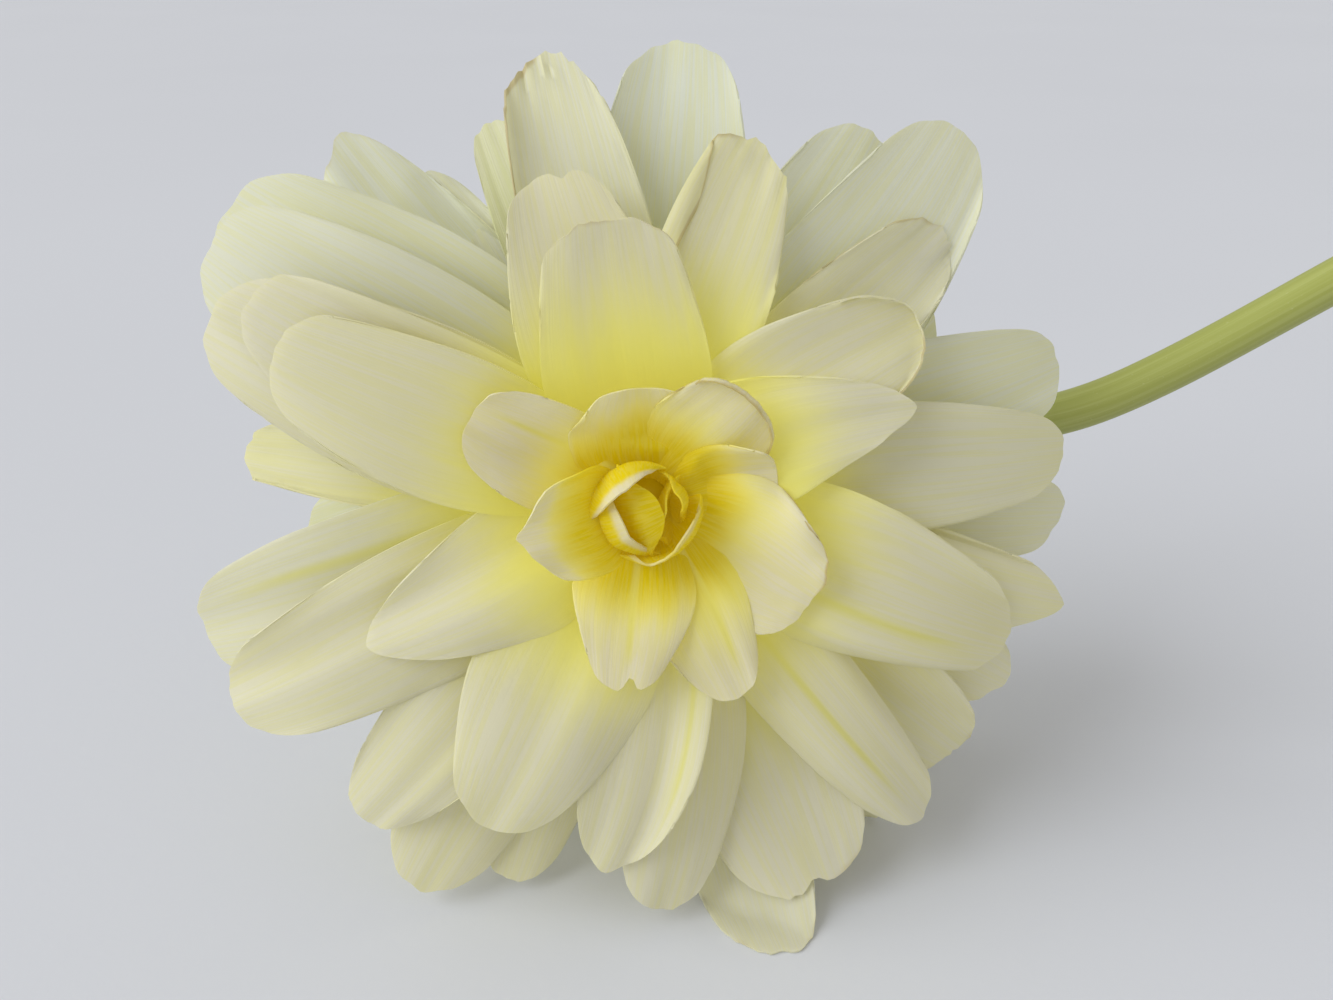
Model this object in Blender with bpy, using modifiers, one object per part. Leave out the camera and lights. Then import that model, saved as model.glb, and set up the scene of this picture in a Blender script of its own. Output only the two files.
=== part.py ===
"""A double begonia bloom with its cut stalk, lying on a surface on its lower petals.

The flower has a frame of its own: X to its right, Y to its top and Z along its axis, out of the heart.
An empty carries that frame, and every part hangs from it. World units are metres, with +Z up.
"""

import math
from typing import NamedTuple

import bmesh
import bpy
from mathutils import Matrix, Vector

MM = 0.001

# The flower's frame in the world
AXIS_RISE = math.radians(18.0)
AXIS_TURN = math.radians(3.0)
CENTRE = Vector((-22.9, 6.1, 47.2)) * MM

# Petal blades
BLADE_THICKNESS = 0.65 * MM
PRESSED_TO = 0.08 * MM  # height of the middle sheet where a petal lies on the surface
CELLS_ACROSS = 4
CELLS_ALONG = 5
ROOT_RADIUS = 2.6 * MM
WIDEST_AT = 0.6
ROUND_TIP = (0.72, 0.42, 2.2)  # width at the shoulders, depth and power of the arc, for petals with point 0
SHARP_TIP = (0.80, 0.75, 1.5)  # the same, for petals with point 1

# Core that the petals grow from, as radius and height along the axis
CORE_PROFILE = ((0.0, -3.4), (4.2, -3.4), (5.6, -1.0), (5.6, 4.0), (4.8, 9.0), (3.4, 12.0), (0.0, 12.9))
HEART_PROFILE = ((0.0, 13.3), (3.0, 13.3), (3.4, 14.6), (2.6, 16.6), (0.0, 17.6))
CORE_SIDES = 14

# Stalk
STALK_RADIUS = 3.0 * MM
STALK_BEVEL = 3
STALK_STEPS = 3
STALK_FLARE = (1.17, 1.03, 0.93, 1.0)
STALK_ROUTE = (
    (0.0, 0.0, -3.7),
    (0.2, 0.1, -6.0),
    (1.8, 0.6, -10.0),
    (6.5, 2.2, -14.5),
    (16.0, 5.0, -17.0),
    (30.0, 4.5, -16.5),
    (46.0, 3.5, -14.5),
    (60.0, 5.2, -12.5),
    (74.0, 11.0, -11.0),
    (98.0, 24.8, -8.0),
)

FLOOR_CUTTER_SIZE = 0.4
MERGE_DISTANCE = 1e-6

PETAL_COLOUR = (0.93, 0.91, 0.72, 1.0)
HEART_COLOUR = (0.93, 0.86, 0.36, 1.0)
STALK_COLOUR = (0.55, 0.62, 0.25, 1.0)


class Petal(NamedTuple):
    """One petal in the flower's frame: lengths in millimetres, angles in degrees."""

    azimuth: float  # of its tip round the axis, from the flower's right towards its top
    reach: float  # of its tip from the axis
    lift: float  # of its tip along the axis
    width: float
    root: float  # height of its root along the axis
    arch: float = 0.12  # how far it bows towards the viewer, as a share of its length
    cup: float = 14.0  # how its sides turn towards the viewer
    roll: float = 0.0  # turn about its own midline
    sweep: float = 0.0  # sideways bow, as a share of its length
    point: float = 0.0  # 0 for a round tip, 1 for a pointed one, and less than 0 for a flat one
    claw: float = 0.42  # width of its root, as a share of its width


FRONT_PETALS = (
    Petal(97, 31, 22, 18.5, 10.5, arch=0.02, cup=9, point=-0.9),
    Petal(19, 32, 18, 15, 10.0, cup=8, sweep=0.07, point=0.7),
    Petal(31.5, 37.5, 15, 16, 9.0, arch=0.16, cup=-12, sweep=0.05),
    Petal(156, 43.5, 17, 16.2, 9.5, arch=0.14, point=-0.5),
    Petal(206, 36, 18, 16, 10.0, arch=0.18, cup=-14, point=0.6),
    Petal(243, 43, 19, 21, 9.5, arch=0.14, cup=-16),
    Petal(262, 45, 20, 14.5, 10.0, cup=-18, sweep=0.07, point=0.25),
    Petal(337, 47, 14, 20, 9.0, arch=0.14, cup=-18),
    Petal(308.5, 54.3, 14, 14.5, 8.5, cup=-16),
    Petal(270.5, 51.5, 17, 17.5, 8.0, arch=0.08, cup=-16, sweep=0.07),
)
MIDDLE_PETALS = (
    Petal(105, 37.5, 14, 17, 8.0, point=-0.4),
    Petal(72, 41.5, 12, 18, 8.0, sweep=0.05),
    Petal(40, 46, 9, 14, 7.0),
    Petal(3.5, 51.5, 8, 15.5, 7.0, sweep=0.02),
    Petal(343, 54.5, 9, 17.5, 6.5, point=0.8),
    Petal(152, 48.7, 14, 17.5, 7.8, claw=0.5),
    Petal(155.5, 52.5, 12, 19, 7.0, claw=0.5),
    Petal(206, 55, 13, 17.5, 7.5, cup=-12),
    Petal(228, 52.5, 15, 16, 7.0, cup=-12),
    Petal(292, 54, 15.5, 24, 6.0, arch=0.0, cup=-14, point=-0.7),
)
BACK_PETALS = (
    Petal(102, 51, 6, 16, 4.5, point=0.2),
    Petal(47.5, 56, 5, 19.5, 4.0, sweep=-0.04),
    Petal(148, 56.3, 9, 21.5, 5.5, point=-0.3, claw=0.5),
    Petal(197, 56, 9, 20, 5.0, point=-0.3),
    Petal(318, 55, 8, 17, 4.0),
    Petal(329, 53, 9, 18, 4.5, cup=-14),
    Petal(239, 58, 12, 18.5, 4.5, arch=0.05, cup=-12),
    Petal(250, 53.5, 10, 14, 3.0, arch=0.0, cup=-12),
    Petal(174, 47.8, 6, 13.5, 4.0),
    Petal(15, 53.8, 4, 17.5, 3.5),
    Petal(354, 54.5, 3, 14.5, 3.0),
)
GUARD_PETALS = (
    Petal(83.5, 52, 2, 18.5, 2.0, point=-0.3),
    Petal(55.5, 50.7, 1, 17, 1.5),
    Petal(145, 58, 4.5, 26, 3.0, point=-0.3, claw=0.6),
    Petal(284.5, 61, 19, 18, 2.0, arch=-0.12),
    Petal(112, 47, -2, 8.5, 1.0),
    Petal(121, 36.5, 2, 11, 2.0),
    Petal(130, 56, -2, 14, 1.0, point=0.6),
    Petal(126, 46, -2, 12, 1.0),
)
REAR_PETALS = (
    Petal(242, 60, 0, 18, 1.5, arch=0.03, cup=8),
    Petal(299, 60, 0, 18, 1.5, arch=0.03, cup=8),
    Petal(30, 44, -6, 27, -0.5, arch=0.1, cup=8, claw=0.5),
    Petal(90, 43, -6, 27, -0.5, arch=0.1, cup=8, claw=0.5),
    Petal(152, 45, -6, 27, -0.5, arch=0.1, cup=8, claw=0.5),
    Petal(193, 46, -7, 25, -0.5, arch=0.1, cup=8, claw=0.5),
    Petal(347, 46, -7, 25, -0.5, arch=0.1, cup=8, claw=0.5),
    Petal(231, 47, -13, 25, -1.0, arch=0.16, cup=8, claw=0.5),
    Petal(309, 47, -13, 25, -1.0, arch=0.16, cup=8, claw=0.5),
    Petal(270, 47, -26, 25, -0.8, arch=0.23, cup=4, claw=0.5),
)
HEART_PETALS = (
    Petal(190, 13.4, 24.5, 12.5, 14.2, cup=26, point=0.3),
    Petal(261, 20.5, 22.5, 14, 14.2, arch=0.05, cup=-4),
    Petal(294, 24.5, 20.5, 12.5, 14.0, arch=0.06, cup=-6),
    Petal(329, 21.5, 21.8, 19, 14.1, arch=0.05, cup=4, point=-0.8),
    Petal(13, 14.8, 22.5, 10, 14.2, arch=0.03, cup=6, point=-0.9),
    Petal(46, 17.5, 22, 14, 14.2, arch=0.02, cup=6, point=-0.9),
    Petal(93, 13.5, 21, 16, 14.0, arch=0.02, cup=4, point=-0.9, claw=0.75),
    Petal(151, 21.5, 20.5, 12.5, 14.0, arch=0.06, cup=4, point=-0.8, claw=0.75),
)
BUD_PETALS = (
    Petal(135, 4.0, 24.0, 13.0, 15.0, arch=-0.25, cup=60, roll=-10, point=-0.6, claw=0.6),
    Petal(306, 5.2, 23.2, 13.2, 15.0, arch=-0.22, cup=56, point=-0.6, claw=0.6),
    Petal(210, 2.6, 23.2, 13.2, 15.4, arch=-0.30, cup=68, point=-0.9, claw=0.6),
    Petal(24, 3.6, 22.0, 7.5, 15.6, arch=-0.16, cup=40, claw=0.6),
    Petal(200, -1.6, 22.2, 12, 15.8, arch=0.30, cup=-34, point=-0.6, claw=0.7),
    Petal(350, 1.6, 22.0, 9, 15.8, arch=-0.16, cup=50, point=-0.5, claw=0.7),
)


def flower_frame():
    """Matrix of the flower's frame: its Z rises by AXIS_RISE and faces the viewer, who stands at -Y."""
    axis = Vector(
        (
            math.sin(AXIS_TURN) * math.cos(AXIS_RISE),
            -math.cos(AXIS_TURN) * math.cos(AXIS_RISE),
            math.sin(AXIS_RISE),
        )
    )
    right = Vector((math.cos(AXIS_TURN), math.sin(AXIS_TURN), 0.0))
    top = axis.cross(right)
    turn = Matrix((right, top, axis)).transposed()
    return Matrix.Translation(CENTRE) @ turn.to_4x4()


def width_share(along, claw, shoulder):
    """Half width along the petal, as a share of its greatest: claw at the root, then 1, then shoulder."""
    if along < WIDEST_AT:
        return claw + (1.0 - claw) * math.sin(0.5 * math.pi * along / WIDEST_AT)
    return 1.0 - (1.0 - shoulder) * ((along - WIDEST_AT) / (1.0 - WIDEST_AT)) ** 2


def petal_place(petal, across, along):
    """A point of the petal's middle sheet, for across from -1 to 1 and along from 0 to 1."""
    turn = math.radians(petal.azimuth)
    out = Vector((math.cos(turn), math.sin(turn), 0.0))
    side = Vector((-math.sin(turn), math.cos(turn), 0.0))
    axis = Vector((0.0, 0.0, 1.0))
    root = out * ROOT_RADIUS + axis * petal.root * MM
    tip = out * petal.reach * MM + axis * petal.lift * MM
    chord = tip - root
    face = side.cross(chord).normalized()
    face = face if face.z > 0.0 else -face
    bend = (root + tip) / 2.0 + (face * petal.arch + side * petal.sweep) * chord.length * 2.0
    shoulder, depth, power = (a + (b - a) * petal.point for a, b in zip(ROUND_TIP, SHARP_TIP))
    reached = along * (1.0 - depth * petal.width * MM / chord.length * abs(across) ** power)
    middle = root * (1.0 - reached) ** 2 + bend * 2.0 * reached * (1.0 - reached) + tip * reached**2
    forward = ((bend - root) * (1.0 - reached) + (tip - bend) * reached).normalized()
    normal = (face - forward * face.dot(forward)).normalized()
    normal = Matrix.Rotation(math.radians(petal.roll), 3, forward) @ normal
    lateral = normal.cross(forward)
    half = petal.width * MM / 2.0 * width_share(along, petal.claw, shoulder)
    cup = math.radians(petal.cup)
    bent = cup * across
    if abs(bent) < 1e-6:
        return middle + lateral * half * across
    return middle + (lateral * math.sin(bent) + normal * (1.0 - math.cos(bent))) * half / cup


def material(name, colour, roughness):
    made = bpy.data.materials.new(name)
    made.use_nodes = True
    shader = made.node_tree.nodes["Principled BSDF"]
    shader.inputs["Base Color"].default_value = colour
    shader.inputs["Roughness"].default_value = roughness
    shader.inputs["Metallic"].default_value = 0.0
    made.diffuse_color = colour
    return made


def new_object(name, mesh, collection, parent):
    made = bpy.data.objects.new(name, mesh)
    made.parent = parent
    collection.objects.link(made)
    return made


def pressed(place, frame):
    """A point of the flower's frame, raised where it would pass through the surface that the petals lie on."""
    world = frame @ place
    world.z = max(world.z, PRESSED_TO)
    return frame.inverted() @ world


def blade(name, petal, collection, parent):
    """One petal as a closed sheet of even thickness, split into triangles alike on both faces."""
    frame = flower_frame()
    bm = bmesh.new()
    bmesh.ops.create_grid(bm, x_segments=CELLS_ACROSS, y_segments=CELLS_ALONG, size=1.0)
    for vert in bm.verts:
        vert.co = pressed(petal_place(petal, vert.co.x, (vert.co.y + 1.0) / 2.0), frame)
    bmesh.ops.triangulate(bm, faces=bm.faces[:])
    mesh = bpy.data.meshes.new(name)
    bm.to_mesh(mesh)
    bm.free()
    made = new_object(name, mesh, collection, parent)
    sheet = made.modifiers.new("thickness", "SOLIDIFY")
    sheet.thickness = BLADE_THICKNESS
    sheet.offset = 0.0
    return made


def turned(name, profile, collection, parent):
    """A solid turned about the flower's axis from (radius, height) in millimetres."""
    bm = bmesh.new()
    verts = [bm.verts.new(Vector((radius, 0.0, height)) * MM) for radius, height in profile]
    edges = [bm.edges.new(pair) for pair in zip(verts, verts[1:])]
    bmesh.ops.spin(
        bm,
        geom=verts + edges,
        cent=(0.0, 0.0, 0.0),
        axis=(0.0, 0.0, 1.0),
        angle=math.tau,
        steps=CORE_SIDES,
        use_merge=True,
    )
    bmesh.ops.remove_doubles(bm, verts=bm.verts[:], dist=MERGE_DISTANCE)
    bmesh.ops.recalc_face_normals(bm, faces=bm.faces[:])
    mesh = bpy.data.meshes.new(name)
    bm.to_mesh(mesh)
    bm.free()
    return new_object(name, mesh, collection, parent)


def applied(node):
    """Makes the evaluated mesh the node's own and drops its modifiers."""
    graph = bpy.context.evaluated_depsgraph_get()
    mesh = bpy.data.meshes.new_from_object(node.evaluated_get(graph))
    node.modifiers.clear()
    node.data = mesh


def keep_outer_body(mesh):
    """Keeps the surface that bounds the most space, so a hollow sealed by the petals is filled."""
    bm = bmesh.new()
    bm.from_mesh(mesh)
    left = set(bm.faces)
    surfaces = []
    while left:
        found = [left.pop()]
        for face in found:
            joined = {other for edge in face.edges for other in edge.link_faces} & left
            left -= joined
            found.extend(joined)
        surfaces.append(found)
    surfaces.sort(key=lambda faces: sum(f.normal.dot(f.calc_center_median()) * f.calc_area() for f in faces))
    dropped = [face for faces in surfaces[:-1] for face in faces]
    bmesh.ops.delete(bm, geom=dropped, context="FACES")
    bm.to_mesh(mesh)
    bm.free()


def joined_bloom(name, profile, petals, finish, parts, helpers, parent):
    """A turned core with its petals, joined into one solid by one Boolean union."""
    node = turned(name, profile, parts, parent)
    blades = bpy.data.collections.new(name + "_blades")
    helpers.children.link(blades)
    for number, petal in enumerate(petals):
        blade(f"{name}_blade_{number}", petal, blades, parent)
    union = node.modifiers.new("petals", "BOOLEAN")
    union.operation = "UNION"
    union.operand_type = "COLLECTION"
    union.collection = blades
    union.solver = "MANIFOLD"
    applied(node)
    keep_outer_body(node.data)
    for helper in list(blades.objects):
        bpy.data.objects.remove(helper)
    bpy.data.collections.remove(blades)
    node.data.materials.clear()
    node.data.materials.append(finish)
    return node


def rested(node, helpers):
    """Cuts the node flat at the surface that it rests on."""
    bm = bmesh.new()
    bmesh.ops.create_cube(bm, size=FLOOR_CUTTER_SIZE)
    bmesh.ops.translate(bm, verts=bm.verts[:], vec=(0.0, 0.0, -FLOOR_CUTTER_SIZE / 2.0))
    mesh = bpy.data.meshes.new("floor_cutter")
    bm.to_mesh(mesh)
    bm.free()
    cutter = new_object("floor_cutter", mesh, helpers, None)
    cutter.hide_render = True
    cutter.display_type = "WIRE"
    cut = node.modifiers.new("surface", "BOOLEAN")
    cut.operation = "DIFFERENCE"
    cut.object = cutter
    cut.solver = "MANIFOLD"


def stalk(finish, parts, parent):
    """The stalk as a round tube along its route, widened where it carries the core."""
    curve = bpy.data.curves.new("stalk_route", "CURVE")
    curve.dimensions = "3D"
    curve.bevel_depth = STALK_RADIUS
    curve.bevel_resolution = STALK_BEVEL
    curve.use_fill_caps = True
    curve.resolution_u = STALK_STEPS
    spline = curve.splines.new("BEZIER")
    spline.bezier_points.add(len(STALK_ROUTE) - 1)
    for point, place in zip(spline.bezier_points, STALK_ROUTE):
        point.co = Vector(place) * MM
        point.handle_left_type = "AUTO"
        point.handle_right_type = "AUTO"
    for point, radius in zip(spline.bezier_points, STALK_FLARE):
        point.radius = radius
    made = new_object("stalk_curve", curve, parts, parent)
    bpy.context.view_layer.update()
    graph = bpy.context.evaluated_depsgraph_get()
    mesh = bpy.data.meshes.new_from_object(made.evaluated_get(graph))
    bpy.data.objects.remove(made)
    bm = bmesh.new()
    bm.from_mesh(mesh)
    bmesh.ops.remove_doubles(bm, verts=bm.verts[:], dist=MERGE_DISTANCE)
    bmesh.ops.recalc_face_normals(bm, faces=bm.faces[:])
    bm.to_mesh(mesh)
    bm.free()
    node = new_object("stalk", mesh, parts, parent)
    node.data.materials.clear()
    node.data.materials.append(finish)
    return node


def main():
    for old in list(bpy.data.objects):
        bpy.data.objects.remove(old)
    parts = bpy.data.collections.new("begonia_flower")
    helpers = bpy.data.collections.new("cutters")
    bpy.context.scene.collection.children.link(parts)
    bpy.context.scene.collection.children.link(helpers)
    flower = bpy.data.objects.new("flower", None)
    flower.matrix_world = flower_frame()
    parts.objects.link(flower)
    bpy.context.view_layer.update()

    petal_finish = material("petal", PETAL_COLOUR, 0.5)
    heart_finish = material("heart_petal", HEART_COLOUR, 0.5)
    stalk_finish = material("stalk", STALK_COLOUR, 0.45)
    outer = FRONT_PETALS + MIDDLE_PETALS + BACK_PETALS + GUARD_PETALS + REAR_PETALS
    petals = joined_bloom("petals", CORE_PROFILE, outer, petal_finish, parts, helpers, flower)
    joined_bloom("heart", HEART_PROFILE, HEART_PETALS + BUD_PETALS, heart_finish, parts, helpers, flower)
    rested(petals, helpers)
    stalk(stalk_finish, parts, flower)


main()
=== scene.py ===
"""A double begonia flower as picked, lying on its lower petals: fine petals round a packed core and stalk."""

import math
import random
from typing import NamedTuple

import bmesh
import bpy
import numpy as np
from bpy.props import FloatProperty, FloatVectorProperty, IntProperty, PointerProperty
from mathutils import Matrix, Vector, noise
from mathutils.bvhtree import BVHTree


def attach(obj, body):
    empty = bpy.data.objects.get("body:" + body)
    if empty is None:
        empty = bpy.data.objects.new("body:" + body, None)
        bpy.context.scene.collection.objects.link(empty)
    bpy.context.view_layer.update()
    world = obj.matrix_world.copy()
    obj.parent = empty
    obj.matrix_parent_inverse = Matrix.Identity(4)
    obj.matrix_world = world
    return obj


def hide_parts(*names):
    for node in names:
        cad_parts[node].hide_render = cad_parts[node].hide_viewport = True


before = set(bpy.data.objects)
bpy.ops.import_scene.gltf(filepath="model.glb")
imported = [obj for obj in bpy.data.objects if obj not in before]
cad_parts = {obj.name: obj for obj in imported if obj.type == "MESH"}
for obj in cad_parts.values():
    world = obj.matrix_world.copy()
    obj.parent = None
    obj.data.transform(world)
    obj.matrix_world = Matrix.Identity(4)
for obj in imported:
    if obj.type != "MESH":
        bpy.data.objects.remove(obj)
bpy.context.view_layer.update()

bl_info = {
    "name": "Begonia flower",
    "version": (1, 0, 0),
    "blender": (4, 5, 0),
    "location": "3D View > Sidebar > Begonia",
    "description": "Petals, heart and stalk of a double begonia flower",
    "category": "Object",
}

MM = 0.001
BODY = "root"

# Where the bloom's middle is and which way its axis points: up by the first angle, turned by the second
CENTRE = Vector((-22.9, 6.1, 47.2)) * MM
AXIS_RISE = math.radians(18.0)
AXIS_TURN = math.radians(3.0)

# The grid of every petal, and the radius of the core where its root is
COLUMNS = 32
ROWS = 46
ROOT_RADIUS = 2.6 * MM

# A petal's outline: how far its end falls back at the corners, and its width there
ROUND_DROP = 0.48
SHARP_DROP = 0.85
ROUND_POWER = 2.2
BLUNT_POWER = 2.4
SHARP_POWER = 1.5
TIP_CURVE = 0.62
BLUNTING = 0.6
ROUND_SHOULDER = 0.76
SHARP_SHOULDER = 0.82

# A petal's section: shares of its half width that a keel and a fold take, and where along it a fold grows
KEEL_WIDTH = 0.14
FOLD_BEFORE = 0.08
FOLD_AFTER = 0.1
FOLD_GROWS = (0.15, 0.5)
HEM_TURN = math.radians(165.0)

# What is drawn for each petal by chance, as the ends of each range
SEED_RANGE = (0.0, 50.0)
WAVE_COUNTS = (1.3, 2.2)
NOTCH_PLACES = (-0.2, 0.2)
LEANS = (-0.12, 0.12)
CREASES = 4
CREASE_PLACES = (-0.7, 0.7)
CREASE_DEPTHS = (-0.12, 0.12)
CREASE_WIDTH = 0.09

# Notches, uneven widths, and rims as (share of the length, power along it, rate across it, noise layer)
NOTCH_WIDTH = 0.13
NOTCH_POWER = 6
UNEVEN_WIDTH = 0.05
UNEVEN_WIDTH_RATE = 2.6
SOFT_RIM = (0.012, 8, 3.5, 3.0)
RAGGED_RIM = (0.02, 12, 12.0, 5.0)

# The relief of a petal's face, and the shares of its length between which each kind grows in
WAVE_POWER = 2.4
WAVES_GROW = (0.15, 0.8)
WARP = 0.9 * MM
WARP_RATES = (1.1, 1.9)
WARP_GROWS = (0.1, 0.9)
FLUTE_RATE = 17.0
FLUTE_FADE = 0.6
FLUTES_GROW = (0.05, 0.25)
CURL_GROWS = (0.72, 1.0)
FRILL = 0.7
FRILL_RATE = 9.0
FRILL_RIM = (0.8, 1.0)
FRILL_GROWS = (0.3, 0.7)
CREASES_GROW = (0.1, 0.45)
MARGIN_FROM = 0.6

# How far petals stay off the floor, where shading breaks, and how near two points are made one
FLOOR_GAP = 0.3 * MM
SHARP_EDGE = math.radians(50.0)
MERGE = 0.001 * MM

# How petals that lie on each other bend clear
CLEAR = 0.45 * MM
SETTLE_REACH = 6.0 * MM
SETTLE_FROM_RADIUS = 7.5 * MM
SIDE_SLOPE = 0.35 * MM
ROOT_SLOPE = 0.25 * MM
CARRIED = 0.99
BLURS = 4

# Painted shade: lemon colour painted on a petal where others lie just in front of it, standing in for the
# warm light in the shade between petals: how near they are, how strong it is, how far it spreads
SHADE_REACH = 10.0 * MM
SHADE_BLURS = 6
PAINTED_SHADE_YELLOW = 0.75
SHADE_SPREAD = 1.3

# Where the values of a petal's colours start and end
FULL_COLOUR = 0.35
RIM_FADE = 0.15
GREEN_FADE = 0.5
DRY_SIDE = (-0.3, 0.5)
DRY_TIP = (0.965, 1.0)
DRY_RIM = (0.93, 1.0)
DRY_RIM_GROWS = (0.5, 0.8)

# The pieces' own map, the values that petals hold at their points, and the seed of every draw
PIECE_UV = "petal"
PETAL_VALUES = ("yellow", "deep", "pale", "dry", "green", "tone", "streak")
SEED = 41

# The petals' skin: patterns drawn out along a petal, as (rate, shift for its tone) across it and along it
FIBRE_PATTERN = ((46.0, 31.0), (1.6, 57.0))
BAND_PATTERN = ((9.0, 83.0), (1.1, 19.0))
BLOTCH_RATE = 260.0
SWAY = 0.5
VEINS = (0.80, 1.0)
LEMON_RANGE = (0.03, 0.97)
DEEP_RANGE = (0.05, 0.85)
VEIN_LEMON = 0.3
TONE_LEMON = 0.08
TONE_MIDDLE = 0.3
STREAK_WANDER = 0.04
STREAK_WIDTH = 0.042
STREAK_LEMON = 0.75
STREAK_ENDS = (0.72, 0.97)
GREEN_SHARE = 0.55
GREEN_VEINS = 0.4
WITHERED_RANGE = (0.22, 0.55)
WITHERED_SHARE = 0.7
FIBRE_RELIEF = 0.4
BAND_RELIEF = 0.5
RELIEF_SHARE = 0.6
PETAL_ROUGHNESS = 0.42
FIBRE_ROUGHNESS = 0.16
DRY_ROUGHNESS = 0.25

# Light within the petals: a painted glow, a weak emission from their lemon parts that stands in for light
# scattered inside them, and what shines through from behind
PAINTED_GLOW_STRENGTH = 0.13
DEEP_PAINTED_GLOW_LOSS = 0.5
BLACK = (0.0, 0.0, 0.0, 1.0)
BUD_GLOW = (0.98, 0.86, 0.08, 1.0)
HEART_GLOW = (0.98, 0.90, 0.22, 1.0)
OUTER_GLOW = (0.97, 0.95, 0.74, 1.0)
HEART_GLOW_SHARE = 0.36
OUTER_GLOW_SHARE = 0.42
HEART_SPECULAR = 0.15
OUTER_SPECULAR = 0.3


class Petal(NamedTuple):
    """A petal in the flower's frame: degrees and millimetres, then the shares and angles of its details."""

    azimuth: float
    reach: float
    lift: float
    width: float
    root: float
    arch: float = 0.12
    cup: float = 14.0
    roll: float = 0.0
    sweep: float = 0.0
    point: float = 0.0
    taper: float = 1.0
    claw: float = 0.42
    widest: float = 0.6
    lean: float = 0.0
    wave: float = 0.5
    keel: float = 0.0
    fold: float = 0.0
    fold_at: float = 0.5
    curl: float = 0.0
    hem: float = 0.0
    notch: float = 0.0
    yellow: float = 26.0
    deep: float = 12.0
    flush: float = 0.0
    rim: float = 0.0
    rim_at: float = 0.78
    pale: float = 0.0
    dry: float = 0.0
    dry_side: float = 0.0
    green: float = 0.0
    streak: float = -1.0


# Details that come together: a withered and rolled rim, and the closed petals round the bud
TORN_RIM = {"dry": 0.5, "dry_side": -1, "hem": 0.035}
CLOSED = {"rim": 0.8, "rim_at": 0.8, "wave": 0.1, "claw": 0.6}

FRONT_PETALS = (
    Petal(97, 31, 22, 18.5, 10.5, arch=0.02, cup=9, point=-0.9, widest=0.45, wave=0.3, yellow=35, dry=0.35),
    Petal(19, 32, 18, 15, 10.0, cup=8, sweep=0.07, point=0.7, keel=6, yellow=31, deep=16, dry=0.12),
    Petal(31.5, 37.5, 15, 16, 9.0, arch=0.16, cup=-12, sweep=0.05, yellow=28, wave=0.7, **TORN_RIM),
    Petal(156, 43.5, 17, 16.2, 9.5, arch=0.14, cup=14, point=-0.5, yellow=34, wave=0.3),
    Petal(206, 36, 18, 16, 10.0, arch=0.18, cup=-14, point=0.6, yellow=28),
    Petal(243, 43, 19, 21, 9.5, arch=0.14, cup=-16, yellow=33),
    Petal(262, 45, 20, 14.5, 10.0, cup=-18, sweep=0.07, point=0.25, yellow=30, streak=0.76, keel=6),
    # Its lemon streak is painted shade: a line along its ridge that stands in for the ridge's shaded side
    Petal(337, 47, 14, 20, 9.0, arch=0.14, cup=-18, yellow=36, fold=-38, fold_at=-0.62, keel=8, streak=0.4),
    Petal(308.5, 54.3, 14, 14.5, 8.5, cup=-16, yellow=38, keel=-22, streak=0.5, lean=-0.4),
    Petal(
        270.5, 51.5, 17, 17.5, 8.0, arch=0.08, cup=-16, sweep=0.07, yellow=34, dry=0.2, fold=-20, fold_at=0.3
    ),
)
MIDDLE_PETALS = (
    Petal(105, 37.5, 14, 17, 8.0, point=-0.4, yellow=36, notch=0.03),
    Petal(
        72, 41.5, 12, 18, 8.0, sweep=0.05, yellow=38, flush=0.25, fold=105, fold_at=0.58, keel=5, dry=0.6,
        dry_side=1,
    ),
    Petal(40, 46, 9, 14, 7.0, yellow=36, dry=0.5, dry_side=1, pale=0.2),
    Petal(3.5, 51.5, 8, 15.5, 7.0, sweep=0.02, yellow=34, pale=0.15),
    Petal(343, 54.5, 9, 17.5, 6.5, point=0.8, yellow=40, dry=0.15, fold=60, fold_at=0.55, flush=0.2),
    Petal(152, 48.7, 14, 17.5, 7.8, claw=0.5, yellow=38, fold=35, fold_at=-0.6),
    Petal(155.5, 52.5, 12, 19, 7.0, claw=0.5, yellow=36),
    Petal(206, 55, 13, 17.5, 7.5, cup=-12, yellow=34, wave=0.8, dry=0.12, keel=5),
    Petal(228, 52.5, 15, 16, 7.0, cup=-12, yellow=34, wave=0.8),
    Petal(292, 54, 15.5, 24, 6.0, arch=0.0, cup=-14, point=-0.7, yellow=48, notch=0.03, dry=0.35, dry_side=1),
)
BACK_PETALS = (
    Petal(102, 51, 6, 16, 4.5, point=0.2, dry=0.9, dry_side=1, fold=55, fold_at=0.72, yellow=34, pale=0.4),
    Petal(47.5, 56, 5, 19.5, 4.0, sweep=-0.04, yellow=36, pale=0.75),
    Petal(148, 56.3, 9, 21.5, 5.5, claw=0.5, point=-0.3, yellow=34, pale=0.6),
    Petal(197, 56, 9, 20, 5.0, point=-0.3, yellow=40, keel=5, streak=0.35, pale=0.2),
    Petal(318, 55, 8, 17, 4.0, dry=0.3, wave=1.0, yellow=50),
    Petal(329, 53, 9, 18, 4.5, cup=-14, wave=1.0, yellow=54, keel=8),
    Petal(239, 58, 12, 18.5, 4.5, arch=0.05, cup=-12, wave=0.8),
    Petal(250, 53.5, 10, 14, 3.0, arch=0.0, cup=-12),
    Petal(174, 47.8, 6, 13.5, 4.0, fold=75, fold_at=0.5, yellow=44, flush=0.28, dry=0.2),
    Petal(15, 53.8, 4, 17.5, 3.5, pale=0.75),
    Petal(354, 54.5, 3, 14.5, 3.0, pale=0.4),
)
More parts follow.
